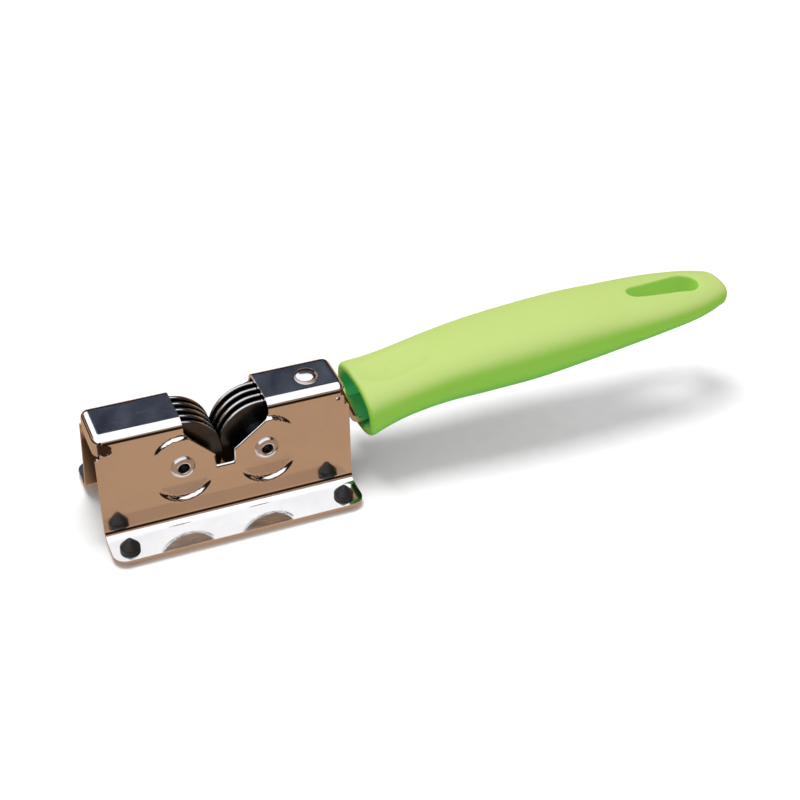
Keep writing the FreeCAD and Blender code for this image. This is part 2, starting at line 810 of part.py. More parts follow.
parts = [make_housing()]
parts += [make_axle("left"), make_axle("right")]
parts += make_stack("left", LEFT_DISCS)
parts += make_stack("right", RIGHT_DISCS)
FOOT_NAMES = ["front_left_foot", "rear_left_foot", "front_right_foot", "rear_right_foot"]
parts += [make_foot(name, x, y) for name, (x, y) in zip(FOOT_NAMES, foot_places())]
parts += [make_tang(), make_rivet(), make_handle()]
doc.recompute()

for item in doc.Objects:
    if "Invalid" in item.State or "Error" in item.State:
        raise RuntimeError(f"{item.Label} failed: {item.State}")
for part in parts:
    if part.Shape.isNull() or not part.Shape.isValid():
        raise RuntimeError(f"{part.Label} has no valid shape")
    if len(part.Shape.Solids) != 1:
        raise RuntimeError(f"{part.Label} has {len(part.Shape.Solids)} solids")

os.makedirs("parts", exist_ok=True)
for part in parts:
    part.Shape.exportStep(f"parts/{part.Label}.step")
    box = part.Shape.BoundBox
    print(f"{part.Label:18} {part.Shape.Volume:9.1f} mm3  "
          f"x {box.XMin:7.2f} {box.XMax:7.2f}  y {box.YMin:6.2f} {box.YMax:6.2f}  "
          f"z {box.ZMin:6.2f} {box.ZMax:6.2f}")
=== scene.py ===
"""Looks for the roller knife sharpener: polished steel housing, ground discs, rubber feet
and a satin green handle, in a plain pale studio.

Lengths are in metres, or in millimetres times MM. +X runs from the housing's open end to the
handle's tip, -Y is the front wall and +Z is up, as in the frame.
"""

import json
import math

import bmesh
import bpy
from mathutils import Matrix, Vector


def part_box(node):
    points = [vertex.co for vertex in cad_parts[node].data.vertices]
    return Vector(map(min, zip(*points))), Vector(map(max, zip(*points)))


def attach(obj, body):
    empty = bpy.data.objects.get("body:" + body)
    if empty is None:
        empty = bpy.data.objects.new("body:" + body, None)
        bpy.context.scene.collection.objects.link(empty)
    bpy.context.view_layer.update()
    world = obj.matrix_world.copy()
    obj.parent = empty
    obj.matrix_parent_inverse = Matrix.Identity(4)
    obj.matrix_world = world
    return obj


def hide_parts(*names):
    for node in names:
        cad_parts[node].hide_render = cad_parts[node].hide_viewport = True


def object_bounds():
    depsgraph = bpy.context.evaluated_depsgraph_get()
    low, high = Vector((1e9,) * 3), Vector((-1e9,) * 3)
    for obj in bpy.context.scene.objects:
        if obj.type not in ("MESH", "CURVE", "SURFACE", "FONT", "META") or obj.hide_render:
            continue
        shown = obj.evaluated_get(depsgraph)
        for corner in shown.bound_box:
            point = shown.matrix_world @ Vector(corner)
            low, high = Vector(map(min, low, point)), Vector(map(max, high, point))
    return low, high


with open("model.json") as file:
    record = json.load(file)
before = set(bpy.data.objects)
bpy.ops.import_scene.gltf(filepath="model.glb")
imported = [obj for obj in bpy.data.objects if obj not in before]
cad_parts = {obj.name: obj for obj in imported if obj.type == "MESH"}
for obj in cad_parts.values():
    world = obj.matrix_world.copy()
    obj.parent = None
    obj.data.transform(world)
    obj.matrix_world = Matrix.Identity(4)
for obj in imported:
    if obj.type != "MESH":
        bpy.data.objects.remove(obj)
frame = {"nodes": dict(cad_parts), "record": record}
CAD_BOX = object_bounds()

MM = 0.001
NODES = frame["nodes"]
RECORD = frame["record"]
OPEN_END = CAD_BOX[0][0]
BODY_OF = {node: body for body, members in RECORD["behaviour"]["bodies"].items() for node in members}
SLOT_OF = {part["node"]: part["material_slot"] for part in RECORD["subparts"]}


# ------------------------------------------------------------------ camera, light and stage

CAMERA_TARGET = Vector((-10.3, -5.9, 20.0)) * MM
CAMERA_DISTANCE = 380.2 * MM
CAMERA_AZIMUTH = math.radians(-24.8)    # 0 looks along +Y
CAMERA_ELEVATION = math.radians(36.41)
CAMERA_ROLL = math.radians(2.33)
CAMERA_LENS = 66.1

FLOOR_SIZE = 6.0
DOME_RADIUS = 2.5
KEY_PLACE = Vector((-0.10, 0.25, 1.10))
KEY_SIZE = 0.55
KEY_POWER = 9.0
FILL_STRENGTH = 0.62

# The studio as polished metal shows it. Heights on its dome are sines of the elevation.
TABLE_TAN = (0.46, 0.275, 0.165, 1)
# Colour of the painted shadow on the mirrored table under the housing.
PAINTED_SHADOW_UNDER_HOUSING = (0.045, 0.020, 0.009, 1)
DARK_CARD = (0.008, 0.010, 0.022, 1)
CARD_CLOUDS = (0.15, 0.17, 0.22, 1)
SOFT_WHITE = (1.25, 1.25, 1.28, 1)
TAN_HEAD = (0.680, 0.692)               # in front, the tan fades to the dark band between these
WHITE_FOOT = (0.696, 0.715)             # and the dark band to white between these
BEHIND_FROM, BEHIND_FULL = 0.70, 0.82   # cosines of the angle from straight behind
BAND_DROP_BESIDE, BAND_DROP_BEHIND = 0.31, 0.75     # how much lower the dark band starts there
WHITE_RISE_BESIDE, WHITE_DROP_BEHIND, WHITE_DROP_LEFT = 0.11, 0.21, 0.40
CARD_AZIMUTH = math.radians(24.8)       # of the dark card, clockwise from straight behind
CARD_ELEVATION = math.radians(36.4)
CARD_WIDTH, CARD_HEIGHT = 0.42, 0.20
TABLE_HEIGHT = 0.05 * MM                # of the tan table that only the steel mirrors
HOUSING_MIDDLE = OPEN_END + 32.5 * MM


def add_object(name, data):
    item = bpy.data.objects.new(name, data)
    bpy.context.scene.collection.objects.link(item)
    return item


def add_camera():
    sin_az, cos_az = math.sin(CAMERA_AZIMUTH), math.cos(CAMERA_AZIMUTH)
    sin_el, cos_el = math.sin(CAMERA_ELEVATION), math.cos(CAMERA_ELEVATION)
    back = Vector((sin_az * cos_el, -cos_az * cos_el, sin_el))
    level = Vector((cos_az, sin_az, 0))
    upright = back.cross(level)
    right = math.cos(CAMERA_ROLL) * level + math.sin(CAMERA_ROLL) * upright
    up = back.cross(right)
    turn = Matrix((right, up, back)).transposed().to_4x4()
    data = bpy.data.cameras.new("camera")
    data.lens = CAMERA_LENS
    data.clip_start = 0.01
    camera = add_object("camera", data)
    camera.matrix_world = Matrix.Translation(CAMERA_TARGET + CAMERA_DISTANCE * back) @ turn
    bpy.context.scene.camera = camera


def add_node(tree, kind, inputs=None, **settings):
    """A shader node, with its inputs set to values or linked to other nodes' outputs."""
    item = tree.nodes.new(kind)
    for name, value in settings.items():
        setattr(item, name, value)
    for name, value in (inputs or {}).items():
        socket = item.inputs[name]
        if isinstance(value, bpy.types.NodeSocket):
            tree.links.new(value, socket)
        else:
            socket.default_value = value
    return item


def maths(tree, operation, *values, clamp=False):
    """The output of one maths node."""
    inputs = dict(enumerate(values))
    item = add_node(tree, "ShaderNodeMath", inputs, operation=operation, use_clamp=clamp)
    return item.outputs[0]


def ramp(tree, factor, stops):
    """A colour ramp through (place, colour) stops; a bare number is a grey."""
    item = add_node(tree, "ShaderNodeValToRGB", {"Fac": factor})
    elements = item.color_ramp.elements
    while len(elements) > 1:
        elements.remove(elements[-1])
    for index, (place, colour) in enumerate(stops):
        element = elements[0] if index == 0 else elements.new(place)
        element.position = place
        element.color = colour if isinstance(colour, tuple) else (colour, colour, colour, 1)
    return item.outputs["Color"]


def mix_colour(tree, factor, first, second):
    """One colour turned into another by a factor from 0 to 1."""
    item = add_node(tree, "ShaderNodeMix", data_type="RGBA")
    for socket, value in ((item.inputs[0], factor), (item.inputs[6], first), (item.inputs[7], second)):
        if isinstance(value, bpy.types.NodeSocket):
            tree.links.new(value, socket)
        else:
            socket.default_value = value
    return item.outputs[2]


def new_material(name):
    material = bpy.data.materials.new(name)
    material.use_nodes = True
    material.node_tree.nodes.clear()
    return material, material.node_tree


def finish_material(tree, shader):
    add_node(tree, "ShaderNodeOutputMaterial", {"Surface": shader})


def step_up(tree, value, start, end):
    """A soft step from 0 to 1 between two values."""
    return add_node(tree, "ShaderNodeMapRange", {"Value": value, "From Min": start, "From Max": end},
                    interpolation_type="SMOOTHSTEP").outputs[0]


def split(tree, vector):
    """The X, Y and Z outputs of a vector."""
    return add_node(tree, "ShaderNodeSeparateXYZ", {0: vector}).outputs


def object_place(tree):
    return add_node(tree, "ShaderNodeTexCoord").outputs["Object"]


def dome_material():
    """The studio that the steel mirrors: tan below, a dark band, white above, one dark card."""
    material, tree = new_material("studio_dome")
    direction = add_node(tree, "ShaderNodeVectorMath", {0: object_place(tree)},
                         operation="NORMALIZE").outputs[0]
    axes = split(tree, direction)
    level = add_node(tree, "ShaderNodeVectorMath", {0: direction, 1: (1, 1, 0)}, operation="MULTIPLY")
    reach = add_node(tree, "ShaderNodeVectorMath", {0: level.outputs[0]}, operation="LENGTH")
    rearward = maths(tree, "DIVIDE", axes["Y"], reach.outputs["Value"])
    sideways = maths(tree, "DIVIDE", axes["X"], reach.outputs["Value"])
    leftward = step_up(tree, sideways, 0.0, -1.0)
    beside = maths(tree, "MULTIPLY", sideways, sideways)
    behind = step_up(tree, rearward, BEHIND_FROM, BEHIND_FULL)

    # The dark band is taller at the sides and behind than in front.
    band_foot = maths(tree, "MULTIPLY_ADD", beside, BAND_DROP_BESIDE, axes["Z"])
    band_foot = maths(tree, "MULTIPLY_ADD", behind, BAND_DROP_BEHIND, band_foot)
    band_head = maths(tree, "MULTIPLY_ADD", beside, -WHITE_RISE_BESIDE, axes["Z"])
    band_head = maths(tree, "MULTIPLY_ADD", behind, WHITE_DROP_BEHIND, band_head)
    band_head = maths(tree, "MULTIPLY_ADD", leftward, WHITE_DROP_LEFT, band_head)
    colour = mix_colour(tree, step_up(tree, band_foot, *TAN_HEAD), TABLE_TAN, DARK_CARD)
    colour = mix_colour(tree, step_up(tree, band_head, *WHITE_FOOT), colour, SOFT_WHITE)

    # A clouded dark card behind and to the right, where the level top plates mirror it.
    turned = add_node(tree, "ShaderNodeVectorRotate", {"Vector": direction, "Angle": CARD_AZIMUTH},
                      rotation_type="Z_AXIS").outputs[0]
    turned = add_node(tree, "ShaderNodeVectorRotate", {"Vector": turned, "Angle": -CARD_ELEVATION},
                      rotation_type="X_AXIS").outputs[0]
    spread = add_node(tree, "ShaderNodeVectorMath", {0: turned, 1: (1 / CARD_WIDTH, 0, 1 / CARD_HEIGHT)},
                      operation="MULTIPLY").outputs[0]
    spread = add_node(tree, "ShaderNodeVectorMath", {0: spread}, operation="LENGTH").outputs["Value"]
    ahead = split(tree, turned)["Y"]
    card = maths(tree, "MULTIPLY", step_up(tree, spread, 1.1, 0.9), step_up(tree, ahead, 0.0, 0.1))
    clouds = add_node(tree, "ShaderNodeTexNoise", {"Vector": direction, "Scale": 80.0, "Detail": 5.0,
                                                   "Roughness": 0.65}).outputs["Fac"]
    cloudy = ramp(tree, clouds, [(0.44, DARK_CARD), (0.62, CARD_CLOUDS)])
    colour = mix_colour(tree, card, colour, cloudy)
    glow = add_node(tree, "ShaderNodeEmission", {"Color": colour, "Strength": 1.0})
    finish_material(tree, glow.outputs[0])
    return material


def table_material():
    """The tan table as the steel mirrors it: slight clouds, and a painted shadow under the housing."""
    material, tree = new_material("tan_table")
    place = object_place(tree)
    clouds = add_node(tree, "ShaderNodeTexNoise", {"Vector": place, "Scale": 14.0, "Detail": 3.0})
    pale = tuple(1.10 * channel for channel in TABLE_TAN[:3])
    tone = mix_colour(tree, clouds.outputs["Fac"], TABLE_TAN, (*pale, 1))
    axes = split(tree, place)
    across = maths(tree, "ABSOLUTE", axes["Y"])
    along = maths(tree, "ABSOLUTE", maths(tree, "SUBTRACT", axes["X"], HOUSING_MIDDLE))
    # Painted shadow: the mirrored table is darkened under the housing.
    under = maths(tree, "MULTIPLY", step_up(tree, across, 13 * MM, 8 * MM),
                  step_up(tree, along, 36 * MM, 28 * MM))
    tone = mix_colour(tree, under, tone, PAINTED_SHADOW_UNDER_HOUSING)
    glow = add_node(tree, "ShaderNodeEmission", {"Color": tone, "Strength": 1.0})
    finish_material(tree, glow.outputs[0])
    return material


def floor_material():
    """A matt, almost white board with a faint grain."""
    material, tree = new_material("pale_floor")
    grain = add_node(tree, "ShaderNodeTexNoise",
                     {"Vector": object_place(tree), "Scale": 220.0, "Detail": 4.0})
    tone = ramp(tree, grain.outputs["Fac"], [(0.3, 0.90), (0.7, 0.93)])
    matt = add_node(tree, "ShaderNodeBsdfDiffuse", {"Color": tone})
    finish_material(tree, matt.outputs[0])
    return material


def add_stage_piece(name, bm, material, seen_by):
    """A piece of the studio that only camera rays or only mirror rays see."""
    mesh = bpy.data.meshes.new(name)
    bm.to_mesh(mesh)
    bm.free()
    mesh.materials.append(material)
    piece = add_object(name, mesh)
    mirrored = seen_by == "mirror"
    piece.visible_glossy = mirrored
    piece.visible_camera = not mirrored
    piece.visible_diffuse = not mirrored
    piece.visible_shadow = not mirrored
    piece.visible_transmission = not mirrored
    piece.visible_volume_scatter = not mirrored
    return piece


def add_stage():
    bm = bmesh.new()
    bmesh.ops.create_grid(bm, x_segments=1, y_segments=1, size=FLOOR_SIZE / 2)
    floor = add_stage_piece("floor", bm, floor_material(), "camera")
    bm = bmesh.new()
    bmesh.ops.create_grid(bm, x_segments=1, y_segments=1, size=FLOOR_SIZE / 3)
    table = add_stage_piece("tan_table", bm, table_material(), "mirror")
    table.location.z = TABLE_HEIGHT
    bm = bmesh.new()
    bmesh.ops.create_icosphere(bm, subdivisions=5, radius=DOME_RADIUS)
    dome = add_stage_piece("studio_dome", bm, dome_material(), "mirror")

    data = bpy.data.lights.new("key", "AREA")
    data.shape = "DISK"
    data.size = KEY_SIZE
    data.energy = KEY_POWER
    key = add_object("key", data)
    key.location = KEY_PLACE
    key.rotation_euler = (-KEY_PLACE).to_track_quat("-Z", "Y").to_euler()
    key.visible_glossy = False

    world = bpy.data.worlds.new("studio")
    world.use_nodes = True
    background = world.node_tree.nodes["Background"]
    background.inputs["Color"].default_value = (1.0, 1.0, 1.0, 1.0)
    background.inputs["Strength"].default_value = FILL_STRENGTH
    bpy.context.scene.world = world
    bpy.context.scene.view_settings.view_transform = "Standard"


# ------------------------------------------------------------------ materials

RING_PITCH = 2 * math.pi / 14000.0      # of the turned rings on the discs' faces
MOUTH_MASK_START, MOUTH_MASK_END = 70 * MM, 9.0 * MM    # of the painted shade in the mouth: place, and depth
MOUTH_MASK_HEIGHT, MOUTH_MASK_CLIMB = 18.5 * MM, 0.25   # of its middle, and the climb per length
MOUTH_MASK_HALF_WIDTH, MOUTH_MASK_HALF_HEIGHT = 10.3 * MM, 5.7 * MM


def noise(tree, scale, detail=2.0, rough=0.5, stretch=(1, 1, 1), turn=(0, 0, 0)):
    """Noise over the place on the piece, in metres, turned and then stretched."""
    where = add_node(tree, "ShaderNodeMapping",
                     {"Vector": object_place(tree), "Rotation": turn, "Scale": stretch}).outputs[0]
    item = add_node(tree, "ShaderNodeTexNoise",
                    {"Vector": where, "Scale": scale, "Detail": detail, "Roughness": rough})
    return item.outputs["Fac"]


def bump(tree, height, depth, normal=None):
    """The normal bent by a height map of a depth in metres, on top of an earlier normal."""
    inputs = {"Height": height, "Distance": depth, "Strength": 1.0}
    if normal is not None:
        inputs["Normal"] = normal
    return add_node(tree, "ShaderNodeBump", inputs).outputs[0]


def scratches(tree, turn, length_scale=60, width_scale=5200, share=0.30):
    """A mask of fine hairline marks that run along a turned X axis."""
    streaks = noise(tree, 1.0, 2.0, 0.6, (length_scale, width_scale, width_scale), (0, 0, turn))
    return ramp(tree, streaks, [(share, 1.0), (share + 0.05, 0.0)])


def rounded_normal(tree, radius):
    return add_node(tree, "ShaderNodeBevel", {"Radius": radius}, samples=4).outputs[0]


def surface_normal(tree):
    return add_node(tree, "ShaderNodeNewGeometry").outputs["Normal"]


def finish_metal(tree, colour, rough, normal):
    metal = add_node(tree, "ShaderNodeBsdfPrincipled",
                     {"Base Color": colour, "Metallic": 1.0, "Roughness": rough, "Normal": normal})
    finish_material(tree, metal.outputs[0])


def polished_sheet():
    """Nickel-bright sheet: faint rolling grain, handling smears, hairline marks, soft edges, and a
    painted dark reflection along the folds.
    """
    material, tree = new_material("polished_sheet")
    smears = ramp(tree, noise(tree, 55, 6, 0.62), [(0.45, 0.0), (0.75, 1.0)])
    grain = noise(tree, 1.0, 3, 0.6, (140, 5200, 5200))
    marks = maths(tree, "MAXIMUM", scratches(tree, 0.35), scratches(tree, -0.9, 90, 6400, 0.28))
    rough = maths(tree, "MULTIPLY_ADD", smears, 0.10, 0.045)
    rough = maths(tree, "MULTIPLY_ADD", grain, 0.03, rough)
    rough = maths(tree, "MULTIPLY_ADD", marks, 0.10, rough)
    colour = mix_colour(tree, smears, (0.88, 0.875, 0.87, 1), (0.80, 0.795, 0.80, 1))

    # Folds get a painted dark reflection where they lean back by this much, between the mirrored tan and
    # white.
    upward = split(tree, surface_normal(tree))["Z"]
    painted_fold_dark = maths(tree, "MULTIPLY", step_up(tree, upward, 0.38, 0.42), step_up(tree, upward, 0.62, 0.56))
    colour = mix_colour(tree, painted_fold_dark, colour, (0.03, 0.03, 0.04, 1))
    waves = bump(tree, noise(tree, 120, 1, 0.4), 0.030 * MM, rounded_normal(tree, 0.16 * MM))
    fine = bump(tree, grain, 0.0010 * MM, waves)
    finish_metal(tree, colour, rough, bump(tree, marks, 0.0012 * MM, fine))
    return material


def ground_disc():
    """Hardened steel: turned rings on dark faces, and a bright ground rim."""
    material, tree = new_material("disc_steel")
    flat = add_node(tree, "ShaderNodeVectorMath", {0: object_place(tree), 1: (1, 0, 1)},
                    operation="MULTIPLY")
    radius = add_node(tree, "ShaderNodeVectorMath", {0: flat.outputs[0]}, operation="LENGTH")
    radius = radius.outputs["Value"]
    rings = maths(tree, "SINE", maths(tree, "MULTIPLY", radius, 2 * math.pi / RING_PITCH))
    stain = noise(tree, 260, 5, 0.6)
    rim = maths(tree, "SUBTRACT", radius, DISC_RADIUS - 0.16 * MM)
    rim = maths(tree, "MULTIPLY", rim, 1 / (0.10 * MM), clamp=True)
    face = mix_colour(tree, stain, (0.045, 0.050, 0.060, 1), (0.12, 0.125, 0.14, 1))
    colour = mix_colour(tree, rim, face, (0.60, 0.595, 0.59, 1))
    rough = maths(tree, "MULTIPLY_ADD", stain, 0.14, 0.20)
    rough = maths(tree, "MULTIPLY_ADD", rim, -0.10, rough)
    turned = bump(tree, rings, 0.0016 * MM)
    finish_metal(tree, colour, rough, bump(tree, noise(tree, 900, 3, 0.6), 0.004 * MM, turned))
    return material


def plain_steel(name, tone, shine, stretch=(1, 1, 1), dents=0.0):
    """Small steel parts: a little colour drift, fine grain, soft edges and perhaps shallow dents."""
    material, tree = new_material(name)
    drift = noise(tree, 180, 4, 0.55)
    grain = noise(tree, 1.0, 3, 0.6, tuple(900 * share for share in stretch))
    dark = tuple(0.82 * channel for channel in tone)
    colour = mix_colour(tree, drift, (*tone, 1), (*dark, 1))
    rough = maths(tree, "MULTIPLY_ADD", drift, 0.10, shine)
    rough = maths(tree, "MULTIPLY_ADD", grain, 0.06, rough)
    surface = bump(tree, grain, 0.003 * MM, rounded_normal(tree, 0.12 * MM))
    if dents:
        surface = bump(tree, noise(tree, 620, 2, 0.5), dents, surface)
    finish_metal(tree, colour, rough, surface)
    return material


def foot_rubber():
    """Dull black rubber with a little dust."""
    material, tree = new_material("foot_rubber")
    dust = ramp(tree, noise(tree, 700, 5, 0.65), [(0.50, 0.0), (0.80, 1.0)])
    colour = mix_colour(tree, dust, (0.006, 0.007, 0.010, 1), (0.022, 0.022, 0.026, 1))
    rough = maths(tree, "MULTIPLY_ADD", dust, 0.20, 0.42)
    surface = bump(tree, noise(tree, 2600, 3, 0.6), 0.012 * MM)
    rubber = add_node(tree, "ShaderNodeBsdfPrincipled",
                      {"Base Color": colour, "Roughness": rough, "Normal": surface})
    finish_material(tree, rubber.outputs[0])
    return material


def handle_plastic():
    """Satin moulded polypropylene: a painted sheen on top, painted shade underneath and in the mouth,
    fine spark texture.
    """
    material, tree = new_material("handle_plastic")
    flow = noise(tree, 26, 3, 0.5, (0.5, 1.6, 1.6))
    speckle = noise(tree, 1500, 2, 0.5)
    place = split(tree, object_place(tree))
    upward = split(tree, surface_normal(tree))["Z"]

    # Painted shade inside the mouth's recess, whose middle climbs along the handle.
    along = maths(tree, "SUBTRACT", place["X"], OPEN_END + MOUTH_MASK_START)
    height = maths(tree, "SUBTRACT", place["Z"], MOUTH_MASK_HEIGHT)
    climb = maths(tree, "MULTIPLY_ADD", along, -MOUTH_MASK_CLIMB, height)
    across = maths(tree, "DIVIDE", place["Y"], MOUTH_MASK_HALF_WIDTH)
    climb = maths(tree, "DIVIDE", climb, MOUTH_MASK_HALF_HEIGHT)
    off_axis = maths(tree, "ADD", maths(tree, "MULTIPLY", across, across),
                     maths(tree, "MULTIPLY", climb, climb))
    inside = maths(tree, "MULTIPLY", step_up(tree, off_axis, 1.15, 0.85),
                   step_up(tree, along, MOUTH_MASK_END, MOUTH_MASK_END - 1.0 * MM))

    side = mix_colour(tree, flow, (0.255, 0.600, 0.040, 1), (0.290, 0.640, 0.055, 1))
    # Painted sheen: upward faces are mixed towards a paler green, as if lit from above.
    painted_top_sheen = mix_colour(tree, flow, (0.450, 0.585, 0.155, 1), (0.480, 0.610, 0.190, 1))
    colour = mix_colour(tree, step_up(tree, upward, 0.12, 0.90), side, painted_top_sheen)
    # Painted shade: downward faces are mixed towards a darker green.
    colour = mix_colour(tree, step_up(tree, upward, 0.10, -0.75), colour, (0.090, 0.520, 0.060, 1))
    # Painted shade: the mouth's recess is mixed towards a deeper, darker green.
    colour = mix_colour(tree, inside, colour, (0.010, 0.450, 0.090, 1))
    rough = maths(tree, "MULTIPLY_ADD", speckle, 0.12, 0.34)
    rough = maths(tree, "MULTIPLY_ADD", flow, 0.06, rough)
    spark = bump(tree, noise(tree, 3200, 3, 0.6), 0.010 * MM)
    drawn = bump(tree, flow, 0.05 * MM, spark)
    plastic = add_node(tree, "ShaderNodeBsdfPrincipled", {
        "Base Color": colour,
        "Roughness": rough,
        "IOR": 1.49,
        "Subsurface Weight": 0.15,
        "Subsurface Radius": (1.0, 2.0, 0.3),
        "Subsurface Scale": 0.8 * MM,
        "Normal": drawn,
    })
    finish_material(tree, plastic.outputs[0])
    return material


# ------------------------------------------------------------------ mesh helpers

def rounded(corners, steps=5):
    """A profile whose (x, y, radius) corners are replaced by arcs of that radius."""
    points = []
    count = len(corners)
    for index, (x, y, radius) in enumerate(corners):
        corner = Vector((x, y))
        if radius == 0:
            points.append(corner)
            continue
        before = Vector(corners[index - 1][:2]) - corner
        after = Vector(corners[(index + 1) % count][:2]) - corner
        half = before.angle(after) / 2
        before.normalize()
        after.normalize()
        middle = corner + (before + after).normalized() * radius / math.sin(half)
        start = corner + before * radius / math.tan(half) - middle
        sweep = start.angle_signed(corner + after * radius / math.tan(half) - middle)
        for step in range(steps + 1):
            angle = -sweep * step / steps
            turned = Matrix.Rotation(angle, 2) @ start
            points.append(middle + turned)
    return points


def lathe(profile, axis, segments=128, closed=True):
    """Turns (radius, along) points about an axis, "Y" or "Z", into a closed skin."""
    bm = bmesh.new()
    rings = []
    for point in profile:
        ring = []
        for step in range(segments):
            angle = 2 * math.pi * step / segments
            across, up = point[0] * math.cos(angle), point[0] * math.sin(angle)
            place = (across, point[1], up) if axis == "Y" else (across, up, point[1])
            ring.append(bm.verts.new(place))
        rings.append(ring)
    pairs = list(zip(rings, rings[1:]))
    if closed:
        pairs.append((rings[-1], rings[0]))
    for first, second in pairs:
        for step in range(segments):
            following = (step + 1) % segments
            bm.faces.new((first[step], first[following], second[following], second[step]))
    bmesh.ops.remove_doubles(bm, verts=bm.verts, dist=1e-7)
    bmesh.ops.dissolve_degenerate(bm, edges=bm.edges, dist=1e-8)
    bmesh.ops.recalc_face_normals(bm, faces=bm.faces)
    return bm


def weigh_normals(piece):
    """Large flat faces keep their own direction next to small rounded edges."""
    modifier = piece.modifiers.new("weighted_normals", "WEIGHTED_NORMAL")
    modifier.keep_sharp = True
    modifier.weight = 100


def stand_for(piece, node):
    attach(piece, BODY_OF[node])
    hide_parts(node)


def add_piece(node, bm, place, material):
    """A detailed piece that stands for a CAD node and moves with that node's body."""
    mesh = bpy.data.meshes.new(node + "_detail")
    bm.to_mesh(mesh)
    bm.free()
    mesh.shade_smooth()
    mesh.materials.append(material)
    piece = add_object(node + "_detail", mesh)
    piece.location = place
    weigh_normals(piece)
    stand_for(piece, node)
    return piece


def middle_of(node):
    low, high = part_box(node)
    return (Vector(low) + Vector(high)) / 2


def size_of(node):
    low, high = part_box(node)
    return Vector(high) - Vector(low)


# ------------------------------------------------------------------ turned pieces

DISC_RADIUS = size_of("left_disc_1").x / 2
AXLE_TUBE = 2.1 * MM
AXLE_BORE = 1.45 * MM


def add_disc(node, material):
    """A ground disc with an eased rim and a shallow turned step around its bore."""
    half = size_of(node).y / 2
    bore = AXLE_TUBE + 0.03 * MM
    step, sunk = 5.2 * MM, 0.06 * MM
    ease = 0.5 * MM
    side = [
        (bore, half - sunk, 0.03 * MM),
        (step, half - sunk, 0),
        (step + 0.25 * MM, half, 0),
        (DISC_RADIUS, half, ease),
    ]
    mirrored = [(radius, -along, turn) for radius, along, turn in reversed(side)]
    bm = lathe(rounded(side + mirrored), "Y", 160)
    add_piece(node, bm, middle_of(node), material)


def add_axle(node, material):
    """A hollow axle whose ends are rolled over in a smooth lip."""
    half = size_of(node).y / 2
    head = size_of(node).x / 2
    roll = 1.0 * MM
    side = [
        (AXLE_BORE, half - 1.6 * MM, 0),
        (AXLE_BORE, half - 0.12 * MM, 0.35 * MM),
        (AXLE_BORE + 0.50 * MM, half, 0.30 * MM),
        (head - 0.35 * MM, half - 0.22 * MM, 0.45 * MM),
        (head, half - roll + 0.18 * MM, 0.15 * MM),
        (head - 0.10 * MM, half - roll, 0.05 * MM),
        (AXLE_TUBE, half - roll, 0),
    ]
    mirrored = [(radius, -along, turn) for radius, along, turn in reversed(side)]
    bm = lathe(rounded(side + mirrored, 4), "Y", 96)
    add_piece(node, bm, middle_of(node), material)


def add_foot(node, material):
    """A soft foot: round pad below the flange, stem through it and a blunt cone above."""
    size = size_of(node)
    low = middle_of(node) - Vector((0, 0, size.z / 2))
    height = size.z
    pad, stem, nub, tip = size.x / 2, 1.9 * MM, 2.5 * MM, 0.55 * MM
    under, above = 1.2 * MM, 2.1 * MM   # the flange's two faces
    profile = [
        (0, 0, 0),
        (pad, 0, 0.35 * MM),
        (pad, under, 0.15 * MM),
        (stem, under, 0),
        (stem, above, 0),
        (nub, above, 0.15 * MM),
        (nub, above + 0.9 * MM, 0.6 * MM),
        (tip, height, 0.4 * MM),
        (0, height, 0),
    ]
    bm = lathe(rounded(profile), "Z", 64, closed=False)
    add_piece(node, bm, low, material)


def add_rivet(node, material):
    """A domed head on the top plate and a set tail under the tang."""
    size = size_of(node)
    low = middle_of(node) - Vector((0, 0, size.z / 2))
    brim, rise = 0.2 * MM, 1.1 * MM
    head_foot = size.z - brim - rise
    head, shank, tail, tail_head = 3.0 * MM, RIVET_HOLE[1] * MM, 2.5 * MM, 0.8 * MM
    dome = []
    for step in range(13):
        angle = math.radians(90 * step / 12)
        dome.append((head * math.cos(angle), head_foot + brim + rise * math.sin(angle)))
    profile = [
        (0, 0),
        (tail - 0.2 * MM, 0),
        (tail, 0.2 * MM),
        (tail, tail_head),
        (shank, tail_head),
        (shank, head_foot),
        (head, head_foot),
        *dome,
    ]
    bm = lathe(profile, "Z", 96, closed=False)
    add_piece(node, bm, low, material)


# ------------------------------------------------------------------ housing

# Millimetres: X from the open end, Y half widths, Z heights, as in the drawing.
SHEET = 0.9
PLATE_LENGTH, PLATE_TOP, FLANGE_TOP = 65.0, 29.7, 2.1
TOP_HALF, BASE_HALF, FLANGE_REACH, FLANGE_CORNER = 7.5, 10.6, 10.0, 3.4
TOP_FOLD, FOOT_FOLD = 3.0, 2.8
WALL_LEAN = (BASE_HALF - TOP_HALF) / (PLATE_TOP - FLANGE_TOP)
AXLES = ((21.0, 17.3), (42.6, 17.3))
BOSS_INNER, BOSS_OUTER = 8.0, 9.15      # the pressed border lies between these radii
BOSS_STRETCH, BOSS_EASE = 1.10, 0.85    # reaches further below the axle; softer at its outside
BOSS_FACE = TOP_HALF + WALL_LEAN * (PLATE_TOP - AXLES[0][1])
LIP_START, LIP_HALF, LIP_FOLD = 2.2, 7.2, 2.0
LIP_SLACK = 0.1                         # so that points on a lip's very edge fold with it
OPEN_LIP_TURN, OPEN_LIP_FLAT = math.radians(90), 3.0
TAIL_LIP_TURN, TAIL_LIP_FLAT = math.radians(68), 10.65
CLEAR_HEIGHT, SPLIT_HEIGHT = 24.5, 27.2     # the walls' ends step back above these
WALL_SETBACK = 1.3
RELIEFS = ((2.9, 26.5, 1.5), (62.1, 26.5, 0.6))     # X, Z and radius of the corner holes
